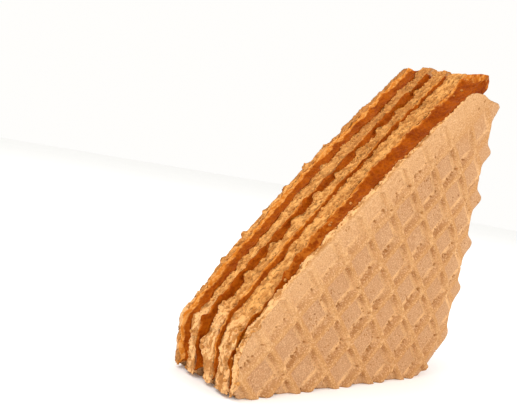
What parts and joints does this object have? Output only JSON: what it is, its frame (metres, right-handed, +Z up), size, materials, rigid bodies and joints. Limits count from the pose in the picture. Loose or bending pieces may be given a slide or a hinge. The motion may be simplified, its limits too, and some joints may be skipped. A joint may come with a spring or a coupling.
{
  "type": "cream filled wafer",
  "caption": "Cut piece of layered waffle sheets with caramel cream between them, standing on its straight natural edge with a slanting crumbled cut.",
  "frame": {"origin": "centre of the bounding box in plan, on the ground under the piece", "axes": "+X along the straight lower edge, +Y from the front sheet through the stack to the back sheet, +Z up"},
  "size_m": [0.0664, 0.0262, 0.0707],
  "materials": {
    "baked_wafer": "matt, baked and slightly porous",
    "caramel_cream": "glossy and slightly translucent"
  },
  "bodies": {
    "root": {"wafer_5": "baked_wafer", "caramel_4": "caramel_cream", "wafer_4": "baked_wafer", "caramel_3": "caramel_cream", "wafer_3": "baked_wafer", "caramel_2": "caramel_cream", "wafer_2": "baked_wafer", "caramel_1": "caramel_cream", "wafer_1": "baked_wafer"}
  },
  "joints": []
}
